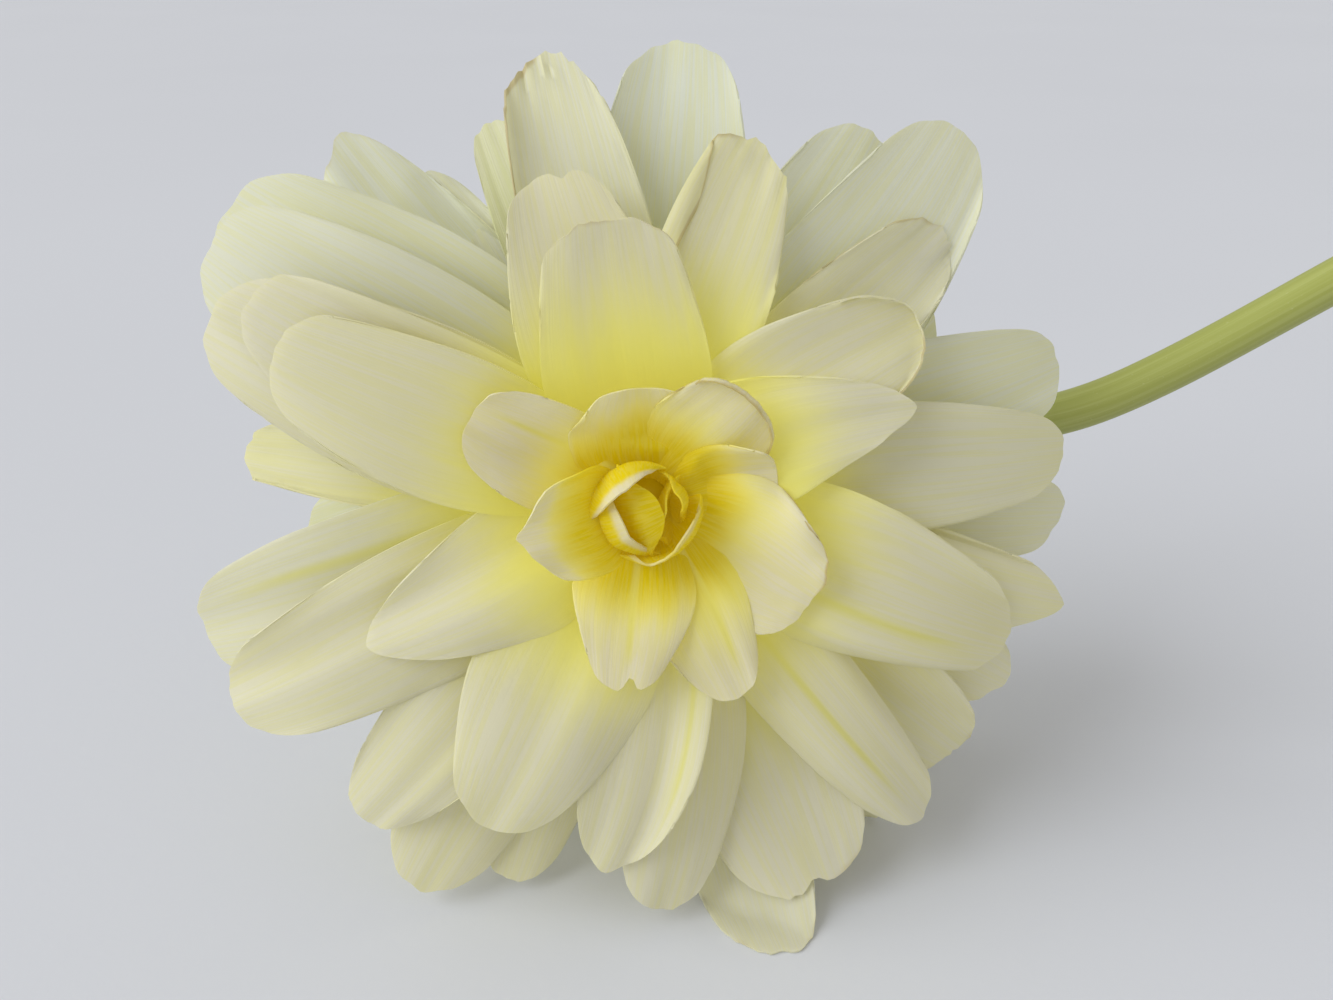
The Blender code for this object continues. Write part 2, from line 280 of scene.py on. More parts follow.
GUARD_PETALS = (
    Petal(83.5, 52, 2, 18.5, 2.0, point=-0.3, yellow=22, pale=1.0),
    Petal(55.5, 50.7, 1, 17, 1.5, yellow=22, pale=0.8),
    Petal(145, 58, 4.5, 26, 3.0, claw=0.6, point=-0.3, yellow=26, pale=0.75),
    Petal(284.5, 61, 19, 18, 2.0, arch=-0.12, dry=0.3, wave=0.9, pale=0.2),
    Petal(112, 47, -2, 8.5, 1.0, green=0.8, yellow=26),
    Petal(121, 36.5, 2, 11, 2.0, yellow=26, pale=0.5),
    Petal(130, 56, -2, 14, 1.0, point=0.7, wave=1.3, lean=-0.6, dry=0.3, green=0.12, pale=0.8),
    Petal(126, 46, -2, 12, 1.0, wave=1.0, green=0.1, pale=0.6),
)
REAR_PETALS = (
    Petal(242, 60, 0, 18, 1.5, arch=0.03, cup=8, yellow=18, deep=4, pale=0.3),
    Petal(299, 60, 0, 18, 1.5, arch=0.03, cup=8, yellow=18, deep=4, pale=0.3),
) + tuple(
    Petal(*form, claw=0.5, yellow=13, deep=4, pale=0.5, green=0.3)
    for form in (
        (30, 44, -6, 27, -0.5, 0.1, 8),
        (90, 43, -6, 27, -0.5, 0.1, 8),
        (152, 45, -6, 27, -0.5, 0.1, 8),
        (193, 46, -7, 25, -0.5, 0.1, 8),
        (347, 46, -7, 25, -0.5, 0.1, 8),
        (231, 47, -13, 25, -1.0, 0.16, 8),
        (309, 47, -13, 25, -1.0, 0.16, 8),
        (270, 47, -26, 25, -0.8, 0.23, 4),
    )
)
HEART_PETALS = (
    Petal(
        190, 13.4, 24.5, 12.5, 14.2, cup=26, point=1.0, taper=0.28, yellow=17, deep=13.5, notch=-0.05,
        rim=0.5, wave=0.3,
    ),
    # Its deep yellow reaches further than its neighbours': real yellow at its root, spread out as painted
    # shade for the trough below the bud
    Petal(261, 20.5, 22.5, 14, 14.2, arch=0.05, cup=-4, yellow=20, deep=16, streak=0.5, notch=0.09, wave=0.4),
    Petal(294, 24.5, 20.5, 12.5, 14.0, arch=0.06, cup=-6, yellow=25, deep=17, streak=0.6, keel=-8),
    Petal(
        329, 21.5, 21.8, 19, 14.1, arch=0.05, cup=4, point=-0.8, yellow=20, deep=15, wave=0.9, dry=0.6,
        dry_side=1,
    ),
    Petal(13, 14.8, 22.5, 10, 14.2, arch=0.03, cup=6, point=-0.9, yellow=17, deep=15, wave=0.4),
    Petal(
        46, 17.5, 22, 14, 14.2, arch=0.02, cup=6, point=-0.9, yellow=18, deep=13, wave=0.6, dry=0.5, hem=0.07
    ),
    Petal(93, 13.5, 21, 16, 14.0, arch=0.02, cup=4, point=-0.9, yellow=17, deep=14.5, claw=0.75),
    Petal(
        151, 21.5, 20.5, 12.5, 14.0, arch=0.06, cup=4, point=-0.8, claw=0.75, yellow=19, deep=12.5, streak=0.4
    ),
)
BUD_PETALS = (
    Petal(135, 4.0, 24.0, 13.0, 15.0, arch=-0.25, cup=60, roll=-10, point=-0.6, **CLOSED),
    Petal(306, 5.2, 23.2, 13.2, 15.0, arch=-0.22, cup=56, rim=0.6, wave=0.2, point=-0.6, claw=0.6, curl=0.3),
    Petal(210, 2.6, 23.2, 13.2, 15.4, arch=-0.30, cup=68, point=-0.9, **CLOSED),
    Petal(24, 3.6, 22.0, 7.5, 15.6, arch=-0.16, cup=40, rim=0.25, wave=0.15, claw=0.6),
    Petal(200, -1.6, 22.2, 12, 15.8, arch=0.30, cup=-34, rim=0.15, wave=0.1, point=-0.6, claw=0.7),
    Petal(350, 1.6, 22.0, 9, 15.8, arch=-0.16, cup=50, rim=0.2, wave=0.15, point=-0.5, claw=0.7),
)

# Turned middles, as (radius, height) from the back to the front, in millimetres
CORE_PROFILE = ((0, -3.4), (4.2, -3.4), (5.6, -1.0), (5.6, 4.0), (4.8, 9.0), (3.4, 12.0), (0, 12.9))
HEART_PROFILE = ((0, 13.3), (3.0, 13.3), (3.4, 14.6), (2.6, 16.6), (0, 17.6))
CORE_SIDES = 32
CORE_CUTS = 2
CORE_BACK = (1.0 * MM, 7.0 * MM)

# The stalk's middle line in the flower's frame, in millimetres, from the core to its cut end
STALK_ROUTE = (
    (0, 0, -3.7),
    (0.2, 0.1, -6.0),
    (1.8, 0.6, -10.0),
    (6.5, 2.2, -14.5),
    (16, 5, -17),
    (30, 4.5, -16.5),
    (46, 3.5, -14.5),
    (60, 5.2, -12.5),
    (74, 11, -11),
    (98, 24.8, -8),
)
STALK_FLARE = (1.17, 1.03, 0.93, 1.0)
STALK_RINGS = 150
STALK_RIBS = 9
RIB_TURN = 3.0
RIBS_FROM = (0.9, 1.0)
STALK_UNEVEN = 0.10 * MM
STALK_UNEVEN_RATE = 14.0
MAP_SEAM = 0.75

# The cut end, as (width of each ring, its level in the colours), and how deep its middle is set in
CUT_RINGS = ((0.14, 0.35), (0.12, 0.6), (0.16, 0.8), (0.25, 1.0))
CUT_DEPTH = 0.25 * MM

# The stalk's skin: (rate round it, rate along it) of its patterns, and marks as (colour, range, share)
LINE_RATES = (26.0, 2.4)
SPOT_RATES = (60.0, 420.0)
PALE_LINES = ((0.58, 0.62, 0.24, 1.0), (0.42, 0.72), 0.35)
GROOVES = ((0.30, 0.37, 0.09, 1.0), (0.55, 0.8), 0.15)
PORES = ((0.66, 0.68, 0.42, 1.0), (0.66, 0.78), 0.3)
CUT_FLESH = (0.66, 0.72, 0.42, 1.0)
CUT_RING = (0.46, 0.54, 0.22, 1.0)
CUT_RING_STARTS = (0.35, 0.55)
CUT_RING_ENDS = (0.72, 0.86)
CUT_STARTS = (0.05, 0.12)
LINE_RELIEF = 0.7
PORE_RELIEF = 0.2
STALK_RELIEF = (0.06 * MM, 0.5)
STALK_ROUGHNESS = (0.34, 0.16)
STALK_SPECULAR = 0.45

# The core's and the floor's grain, as (depth, share), and roughness, as (least, what the grain adds)
GRAIN_RATE = 900.0
CORE_PATCH_RATE = 160.0
CORE_PATCHES = (0.35, 0.65)
CORE_RELIEF = (0.1 * MM, 0.5)
CORE_ROUGHNESS = (0.5, 0.1)
CORE_SPECULAR = 0.35
FLOOR_SHADE_RATE = 5.0
FLOOR_DIM = 0.96
FLOOR_RELIEF = (0.05 * MM, 0.3)
FLOOR_ROUGHNESS = 0.6
FLOOR_SPECULAR = 0.3

# The lamps, and the photograph's size in pixels, its focal length and where the bloom's middle is in it
KEY_TOWARDS = Vector((-0.76, -0.22, 0.61))
KEY_SPREAD = math.radians(50.0)
KEY_COLOUR = (0.94, 0.97, 1.0)
FILL_PLACE = Vector((-0.30, -0.75, 0.40))
FILL_SIZE = 0.8
FILL_COLOUR = (1.0, 0.97, 0.92)
FLOOR_CELLS = 8
IMAGE_WIDTH = 1333.0
IMAGE_HEIGHT = 1000.0
FOCAL_PIXELS = 1050.0
CENTRE_PIXEL = (642.0, 476.0)
SENSOR = 36.0
NEAREST = 5.0 * MM

# Search trees of the petals laid so far, from the front of the bloom to its back
laid = []


def length(name, about, size):
    """A setting for a length."""
    return FloatProperty(name=name, description=about, default=size, unit="LENGTH")


def shade(name, about, red, green, blue):
    """A setting for a colour."""
    return FloatVectorProperty(
        name=name, description=about, default=(red, green, blue, 1.0), size=4, subtype="COLOR"
    )


class BloomSettings(bpy.types.PropertyGroup):
    """Sizes of the petals that a user would change."""

    thickness: length("Petal thickness", "Thickness of a petal along its middle", 0.55 * MM)
    margin: FloatProperty(
        name="Margin", description="Thickness at a petal's edge, as a share of its middle", default=0.4
    )
    flutes: length("Flutes", "Depth of the soft lengthwise flutes", 0.02 * MM)
    fibres: length("Fibres", "Depth of the fine veins in the finish", 0.16 * MM)


class ColourSettings(bpy.types.PropertyGroup):
    """Colours of the petals and the stalk."""

    ivory: shade("Ivory", "Most of a petal", 0.91, 0.885, 0.745)
    lemon: shade("Lemon", "A petal towards its root", 0.90, 0.87, 0.23)
    deep: shade("Deep yellow", "Roots and heart", 0.86, 0.71, 0.004)
    pale: shade("Pale", "The outermost petals", 0.87, 0.91, 0.88)
    dry: shade("Dry edge", "Withered rims", 0.54, 0.41, 0.16)
    green: shade("Green flush", "Rear petals and the back of the core", 0.60, 0.68, 0.34)
    stalk: shade("Stalk", "The stalk's skin", 0.37, 0.40, 0.09)


class StalkSettings(bpy.types.PropertyGroup):
    """Sizes of the stalk."""

    radius: length("Radius", "The stalk's radius", 3.0 * MM)
    ribs: length("Rib depth", "Height of the stalk's low ribs", 0.012 * MM)
    sides: IntProperty(name="Sides", description="Sides of the stalk's section", default=36)


class StageSettings(bpy.types.PropertyGroup):
    """Floor, light and camera."""

    floor_size: length("Floor", "Half the floor's side", 3.0)
    floor_colour: shade("Floor colour", "Pale plain floor", 0.73, 0.745, 0.79)
    sky_colour: shade("Surround", "Soft light from all round", 1.0, 0.985, 0.965)
    sky_strength: FloatProperty(name="Surround strength", description="Brightness all round", default=0.49)
    key_strength: FloatProperty(name="Key light", description="Strength of the light overhead", default=1.95)
    fill_power: FloatProperty(
        name="Fill light", description="Power of the light in front", default=0.3, unit="POWER"
    )
    distance: length("Distance", "Camera to bloom", 135.0 * MM)
    tilt: FloatProperty(
        name="Tilt", description="How far the camera looks down", default=math.radians(30.0), subtype="ANGLE"
    )


def flower_frame():
    """The flower's frame in the world: +Z along its axis, +Y towards its top petals."""
    axis = Vector(
        (
            math.sin(AXIS_TURN) * math.cos(AXIS_RISE),
            -math.cos(AXIS_TURN) * math.cos(AXIS_RISE),
            math.sin(AXIS_RISE),
        )
    )
    right = Vector((math.cos(AXIS_TURN), math.sin(AXIS_TURN), 0.0))
    top = axis.cross(right)
    turn = Matrix((right, top, axis)).transposed()
    return Matrix.Translation(CENTRE) @ turn.to_4x4()


FLOWER = flower_frame()


def step(value, low, high):
    """0 below low, 1 above high, and smooth between."""
    share = min(max((value - low) / (high - low), 0.0), 1.0)
    return share * share * (3.0 - 2.0 * share)


def across_at(column):
    """How far across a petal a column lies, from -1 to 1, with the columns closer towards both edges."""
    return math.sin(0.5 * math.pi * (2.0 * column / COLUMNS - 1.0))


def tip_drop(petal, edge):
    """How far a petal's end falls back at a share of its half width, in its own widths."""
    if petal.point < 0.0:
        return ROUND_DROP * (1.0 + BLUNTING * petal.point) * (1.0 - (1.0 - edge**BLUNT_POWER) ** TIP_CURVE)
    round_drop = ROUND_DROP * (1.0 - (1.0 - edge**ROUND_POWER) ** TIP_CURVE)
    return (round_drop + (SHARP_DROP * edge**SHARP_POWER - round_drop) * petal.point) * petal.taper


def width_share(along, petal, shoulder):
    """A petal's width at a share of its length, as a share of its greatest."""
    if along < petal.widest:
        return petal.claw + (1.0 - petal.claw) * math.sin(0.5 * math.pi * along / petal.widest)
    return 1.0 - (1.0 - shoulder) * ((along - petal.widest) / (1.0 - petal.widest)) ** 2


class Spine:
    """A petal's middle line, bent from its root to its tip, and the directions across and out of it."""

    def __init__(self, petal):
        turn = math.radians(petal.azimuth)
        out = Vector((math.cos(turn), math.sin(turn), 0.0))
        self.side = Vector((-math.sin(turn), math.cos(turn), 0.0))
        axis = Vector((0.0, 0.0, 1.0))
        self.root = out * ROOT_RADIUS + axis * petal.root * MM
        self.tip = out * petal.reach * MM + axis * petal.lift * MM
        chord = self.tip - self.root
        self.length = chord.length
        face = self.side.cross(chord).normalized()
        self.face = face if face.z > 0.0 else -face
        bow = (self.face * petal.arch + self.side * petal.sweep) * self.length * 2.0
        self.bend = (self.root + self.tip) / 2.0 + bow
        self.roll = math.radians(petal.roll)

    def at(self, share):
        """The place, the direction across and the direction out of the petal at a share of its length."""
        place = (
            self.root * (1.0 - share) ** 2
            + self.bend * 2.0 * share * (1.0 - share)
            + self.tip * share**2
        )
        forward = ((self.bend - self.root) * (1.0 - share) + (self.tip - self.bend) * share).normalized()
        normal = (self.face - forward * self.face.dot(forward)).normalized()
        normal = Matrix.Rotation(self.roll, 3, forward) @ normal
        return place, normal.cross(forward), normal


def bend_across(petal, across, along):
    """The angle that a petal's section has turned through at a share of its half width."""
    angle = math.radians(petal.cup) * across
    angle += math.radians(petal.keel) * math.tanh(across / KEEL_WIDTH)
    if petal.fold:
        hand = math.copysign(1.0, petal.fold_at)
        at = abs(petal.fold_at)
        bent = step(across * hand, at - FOLD_BEFORE, at + FOLD_AFTER) * step(along, *FOLD_GROWS)
        angle += hand * math.radians(petal.fold) * bent
    return angle


def section(petal, along, half):
    """Offsets across and out of a petal's section, walked from its middle line to both edges."""
    middle = COLUMNS // 2
    offsets = [(0.0, 0.0)] * (COLUMNS + 1)
    for hand in (1, -1):
        sideways, out = 0.0, 0.0
        for count in range(1, middle + 1):
            near, far = across_at(middle + hand * (count - 1)), across_at(middle + hand * count)
            angle = bend_across(petal, (near + far) / 2.0, along)
            sideways += math.cos(angle) * (far - near) * half
            out += math.sin(angle) * (far - near) * half
            offsets[middle + hand * count] = (sideways, out)
    return offsets


def hemmed(petal, along):
    """How far along a petal a row lies and how far out, in lengths, where its tip's margin is rolled over."""
    start = 1.0 - petal.hem
    if along <= start:
        return along, 0.0
    radius = petal.hem / HEM_TURN
    angle = (along - start) / radius
    return start + radius * math.sin(angle), radius * (1.0 - math.cos(angle))


class Chance(NamedTuple):
    """What is drawn for one petal by chance."""

    seed: float
    phases: list
    waves: float
    notch_at: float
    lean: float
    creases: list


def drawn(petal, draw):
    """A petal's chance details, always drawn in this order."""
    return Chance(
        seed=draw.uniform(*SEED_RANGE),
        phases=[draw.uniform(0.0, 2.0 * math.pi) for _ in range(2)],
        waves=draw.uniform(*WAVE_COUNTS),
        notch_at=draw.uniform(*NOTCH_PLACES),
        lean=petal.lean + draw.uniform(*LEANS),
        creases=[(draw.uniform(*CREASE_PLACES), draw.uniform(*CREASE_DEPTHS)) for _ in range(CREASES)],
    )


def hills(x, y, z):
    """Smooth unevenness between about -1 and 1."""
    return noise.noise(Vector((x, y, z)))


def rim_shift(seed, along, across, rim, share=1.0):
    """How far an uneven rim stands out at a share of a petal's width."""
    size, power, rate, layer = rim
    return size * share * along**power * hills(across * rate, seed, layer)


def reached_at(petal, chance, along, across, widths):
    """How far along its spine a point of a petal lies: less at a rounded, notched or ragged end."""
    drop = tip_drop(petal, min(abs(across), 1.0))
    reached = along * (1.0 - widths * drop * (1.0 + chance.lean * across))
    notch = math.exp(-(((across - chance.notch_at) / NOTCH_WIDTH) ** 2))
    reached -= petal.notch * along**NOTCH_POWER * notch
    reached += rim_shift(chance.seed, along, across, SOFT_RIM)
    reached += rim_shift(chance.seed, along, across, RAGGED_RIM, petal.dry)
    return reached


def raised(petal, chance, out, hem, reached, column, flutes):
    """How far out of its spine a point lies, with its hem and its relief added to its section."""
    across = across_at(column)
    edge = min(abs(across), 1.0)
    ripple = math.sin(2.0 * math.pi * chance.waves * reached + chance.phases[column * 2 > COLUMNS])
    out += petal.wave * MM * edge**WAVE_POWER * step(reached, *WAVES_GROW) * ripple
    warp = hills(across * WARP_RATES[0], reached * WARP_RATES[1], chance.seed)
    out += WARP * step(reached, *WARP_GROWS) * warp
    fluted = flutes * math.cos(across * FLUTE_RATE + chance.seed)
    out += fluted * step(reached, *FLUTES_GROW) * (1.0 - FLUTE_FADE * reached)
    out += petal.curl * MM * step(reached, *CURL_GROWS) + hem
    frill = hills(across * FRILL_RATE, reached * FRILL_RATE, chance.seed)
    at_rim = step(max(edge, reached), *FRILL_RIM)
    out += FRILL * petal.dry * MM * frill * at_rim * step(reached, *FRILL_GROWS)
    for at, depth in chance.creases:
        crease = math.exp(-(((across - at) / CREASE_WIDTH) ** 2))
        out += depth * MM * crease * step(reached, *CREASES_GROW)
    return out


def petal_rows(petal, draw, flutes):
    """Rows of places on a petal's middle surface, from root to tip, in the flower's frame."""
    spine = Spine(petal)
    shoulder = ROUND_SHOULDER + (SHARP_SHOULDER - ROUND_SHOULDER) * max(petal.point, 0.0)
    widths = petal.width * MM / spine.length
    chance = drawn(petal, draw)
    rows = []
    for row in range(ROWS + 1):
        along, rolled = hemmed(petal, row / ROWS)
        half = petal.width * MM / 2.0 * width_share(along, petal, shoulder)
        half *= 1.0 + UNEVEN_WIDTH * hills(chance.seed, along * UNEVEN_WIDTH_RATE, 0.0)
        places = []
        for column, (sideways, out) in enumerate(section(petal, along, half)):
            reached = reached_at(petal, chance, along, across_at(column), widths)
            place, lateral, normal = spine.at(reached)
            out = raised(petal, chance, out, rolled * spine.length, reached, column, flutes)
            places.append(place + lateral * sideways + normal * out)
        rows.append(places)
    return rows


def clear_of(rows, trees):
    """How far each place has to move back along the axis to lie behind the petals already laid."""
    pushes = np.zeros((ROWS + 1, COLUMNS + 1))
    back = Vector((0.0, 0.0, -1.0))
    for row, places in enumerate(rows):
        for column, place in enumerate(places):
            if math.hypot(place.x, place.y) < SETTLE_FROM_RADIUS:
                continue
            start = place - back * CLEAR
            for tree in trees:
                distance = tree.ray_cast(start, back, SETTLE_REACH)[3]
                if distance is not None:
                    pushes[row, column] = max(pushes[row, column], distance)
    return pushes


def shaded(rows, trees):
    """1 where a petal lies under one in front of it, fading out past the edge of that petal: where the
    painted shade goes.
    """
    under = np.zeros((ROWS + 1, COLUMNS + 1))
    front = Vector((0.0, 0.0, 1.0))
    for row, places in enumerate(rows):
        for column, place in enumerate(places):
            if any(tree.ray_cast(place + front * CLEAR / 2.0, front, SHADE_REACH)[3] for tree in trees):
                under[row, column] = 1.0
    for _ in range(SHADE_BLURS):
        under = blurred(under)
    return under


def blurred(values):
    """Each value averaged with its neighbours."""
    wide = np.pad(values, 1, mode="edge")
    return (wide[:-2, 1:-1] + wide[2:, 1:-1] + wide[1:-1, :-2] + wide[1:-1, 2:] + 2.0 * values) / 6.0


def eased(pushes):
    """The pushes spread to their neighbours and out to the tip, so that a petal bends and doesn't dent."""
    for row in range(1, ROWS + 1):
        pushes[row] = np.maximum(pushes[row], pushes[row - 1] * CARRIED)
    for row in range(ROWS - 1, -1, -1):
        pushes[row] = np.maximum(pushes[row], pushes[row + 1] - ROOT_SLOPE)
    for column in range(1, COLUMNS + 1):
        pushes[:, column] = np.maximum(pushes[:, column], pushes[:, column - 1] - SIDE_SLOPE)
    for column in range(COLUMNS - 1, -1, -1):
        pushes[:, column] = np.maximum(pushes[:, column], pushes[:, column + 1] - SIDE_SLOPE)
    for _ in range(BLURS):
        pushes = blurred(pushes)
    return pushes


def tree_of(rows):
    """A search tree of a petal's surface."""
    wide = COLUMNS + 1
    points = [place for places in rows for place in places]
    corners = [row * wide + column for row in range(ROWS) for column in range(COLUMNS)]
    faces = [(corner, corner + 1, corner + wide + 1, corner + wide) for corner in corners]
    return BVHTree.FromPolygons(points, faces)


def settled(rows):
    """Moves a petal's rows back behind the petals in front, and says where those cover it."""
    pushes = eased(clear_of(rows, laid))
    for places, row_pushes in zip(rows, pushes):
        for place, push in zip(places, row_pushes):
            place.z -= push
    under = shaded(rows, laid)
    laid.append(tree_of(rows))
    return under


def on_floor(place):
    """The place in the world, and no lower than a petal that lies on the floor."""
    world = FLOWER @ place
    world.z = max(world.z, FLOOR_GAP)
    return world


def towards_axis(place, reach):
    """1 near the flower's axis, falling to 0 at a reach in millimetres from it."""
    return 1.0 - step(place.xy.length, reach * FULL_COLOUR * MM, reach * MM)


def dryness(petal, across, along):
    """How withered a petal is: only along the rim near its tip."""
    side = step(across * petal.dry_side, *DRY_SIDE) if petal.dry_side else 1.0
    rim = max(step(along, *DRY_TIP), step(abs(across), *DRY_RIM) * step(along, *DRY_RIM_GROWS))
    return petal.dry * rim * side


def add_petal(bm, rows, under, petal, draw):
    """A petal's grid in the mesh, with its map and its colour values."""
    group = bm.verts.layers.deform.verify()
    layers = {name: bm.verts.layers.float[name] for name in PETAL_VALUES}
    grid = bmesh.ops.create_grid(bm, x_segments=COLUMNS, y_segments=ROWS, size=1.0, calc_uvs=True)
    tone = draw.random()
    for vert in grid["verts"]:
        along = (vert.co.y + 1.0) / 2.0
        row, column = round(along * ROWS), round((vert.co.x + 1.0) / 2.0 * COLUMNS)
        across = across_at(column)
        place = rows[row][column]
        faded = 1.0 - petal.rim * step(along, petal.rim_at, petal.rim_at + RIM_FADE)
        lemon = max(towards_axis(place, petal.yellow), petal.flush) * faded
        # Painted shade: more lemon where a petal in front covers this one, near the axis
        painted_shade = PAINTED_SHADE_YELLOW * under[row, column] * towards_axis(place, petal.yellow * SHADE_SPREAD)
        vert[layers["yellow"]] = max(lemon, painted_shade)
        vert[layers["deep"]] = towards_axis(place, petal.deep) * faded
        vert[layers["dry"]] = dryness(petal, across, along)
        vert[layers["green"]] = petal.green * (1.0 - GREEN_FADE * along)
        vert[layers["pale"]] = petal.pale
        vert[layers["tone"]] = tone
        vert[layers["streak"]] = petal.streak
        vert[group][0] = 1.0 - step(max(abs(across), along), MARGIN_FROM, 1.0)
        vert.co = on_floor(place)


def finished(name, bm, material):
    """An object of the mesh in the scene, with its material."""
    mesh = bpy.data.meshes.new(name)
    bm.to_mesh(mesh)
    bm.free()
    mesh.materials.append(material)
    piece = bpy.data.objects.new(name, mesh)
    bpy.context.scene.collection.objects.link(piece)
    return piece


def smooth_piece(piece):
    """Applies a piece's modifiers and shades its faces smooth up to its sharp edges."""
    graph = bpy.context.evaluated_depsgraph_get()
    made = bpy.data.meshes.new_from_object(piece.evaluated_get(graph))
    rough = piece.data
    piece.modifiers.clear()
    piece.data = made
    made.name = piece.name
    bpy.data.meshes.remove(rough)
    made.shade_smooth()
    made.set_sharp_from_angle(angle=SHARP_EDGE)


def whorl(name, petals, material, node, lies=True):
    """Makes one piece of several petals, each laid behind those before it if it lies on them."""
    sizes = bpy.context.scene.bloom
    draw = random.Random(f"{SEED} {name}")
    bm = bmesh.new()
    bm.loops.layers.uv.new(PIECE_UV)
    for value in PETAL_VALUES:
        bm.verts.layers.float.new(value)
    for petal in petals:
        rows = petal_rows(petal, draw, sizes.flutes)
        under = settled(rows) if lies else np.zeros((ROWS + 1, COLUMNS + 1))
        add_petal(bm, rows, under, petal, draw)
    piece = finished(name, bm, material)
    piece.vertex_groups.new(name="thick")
    wall = piece.modifiers.new("Wall", "SOLIDIFY")
    wall.thickness = sizes.thickness
    wall.offset = 0.0
    wall.vertex_group = "thick"
    wall.thickness_vertex_group = sizes.margin
    smooth_piece(piece)
    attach(piece, BODY)
    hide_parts(node)


class Socket:
    """A value in a material's nodes that Python's operators work on."""

    def __init__(self, finish, socket):
        self.finish = finish
        self.socket = socket

    def maths(self, operation, first, second=0.0):
        """A Math node of the two values."""
        return self.finish.node("ShaderNodeMath", {"operation": operation}, {0: first, 1: second})

    def __add__(self, other):
        return self.maths("ADD", self, other)

    def __radd__(self, other):
        return self.maths("ADD", other, self)

    def __sub__(self, other):
        return self.maths("SUBTRACT", self, other)

    def __rsub__(self, other):
        return self.maths("SUBTRACT", other, self)

    def __mul__(self, other):
        return self.maths("MULTIPLY", self, other)

    def __rmul__(self, other):
        return self.maths("MULTIPLY", other, self)

    def __abs__(self):
        return self.maths("ABSOLUTE", self)


class Finish:
    """A material and the nodes that it is made of."""

    def __init__(self, name):
        self.material = bpy.data.materials.new(name)
        self.material.use_nodes = True
        self.tree = self.material.node_tree
        self.tree.nodes.clear()

    def node(self, kind, settings=None, inputs=None, output=0):
        """One output of a new node, which gets its settings and then its sockets' values or links."""
        node = self.tree.nodes.new(kind)
        for name, value in (settings or {}).items():
            setattr(node, name, value)
        for key, value in (inputs or {}).items():
            if isinstance(value, Socket):
                self.tree.links.new(value.socket, node.inputs[key])
            else:
                node.inputs[key].default_value = value
        return None if output is None else Socket(self, node.outputs[output])

    def attribute(self, name):
        """A value that the mesh holds at its points."""
        return self.node("ShaderNodeAttribute", {"attribute_name": name}, output=2)

    def split(self, vector):
        """A vector's three numbers."""
        parts = self.node("ShaderNodeSeparateXYZ", inputs={0: vector}).socket.node
        return [Socket(self, output) for output in parts.outputs]

    def piece_map(self):
        """The piece's own map: how far across or round it a point lies, and how far along."""
        across, along, _ = self.split(self.node("ShaderNodeUVMap", {"uv_map": PIECE_UV}))
        return across, along

    def place(self):
        """The point's place in its object."""
        return self.node("ShaderNodeTexCoord", output="Object")

    def flat(self, x, y):
        """A vector of two values."""
        return self.node("ShaderNodeCombineXYZ", inputs={0: x, 1: y})

    def noise(self, vector, scale=1.0, detail=2.0, roughness=0.5):
        """Noise between 0 and 1."""
        return self.node(
            "ShaderNodeTexNoise",
            inputs={"Vector": vector, "Scale": scale, "Detail": detail, "Roughness": roughness},
        )

    def smooth(self, value, low, high):
        """0 below low, 1 above high, and smooth between."""
        return self.node(
            "ShaderNodeMapRange",
            {"interpolation_type": "SMOOTHSTEP"},
            {"Value": value, "From Min": low, "From Max": high},
        )

    def mix(self, first, second, share):
        """A colour between two others."""
        return self.node(
            "ShaderNodeMix",
            {"data_type": "RGBA", "clamp_factor": True},
            {0: share, 6: first, 7: second},
            output=2,
        )

    def bump(self, height, depth, strength):
        """A normal for relief of the given depth."""
        return self.node("ShaderNodeBump", inputs={"Height": height, "Distance": depth, "Strength": strength})

    def principled(self, colour, roughness, normal, specular, painted_glow=BLACK):
        """The main shader, with a painted glow: emission of a given colour that stands in for the light a
        thin petal scatters towards the viewer.
        """
        return self.node(
            "ShaderNodeBsdfPrincipled",
            inputs={
                "Base Color": colour,
                "Roughness": roughness,
                "Normal": normal,
                "Specular IOR Level": specular,
                "Emission Color": painted_glow,
                "Emission Strength": PAINTED_GLOW_STRENGTH,
            },
        )

    def show(self, shader):
        """Ends the material with its shader."""
        self.node("ShaderNodeOutputMaterial", inputs={"Surface": shader}, output=None)
        return self.material


def drawn_out(finish, across, along, tone, pattern, detail):
    """Noise drawn out along a petal, and different on each petal."""
    (wide, aside), (long, ahead) = pattern
    return finish.noise(finish.flat(across * wide + tone * aside, along * long + tone * ahead), detail=detail)


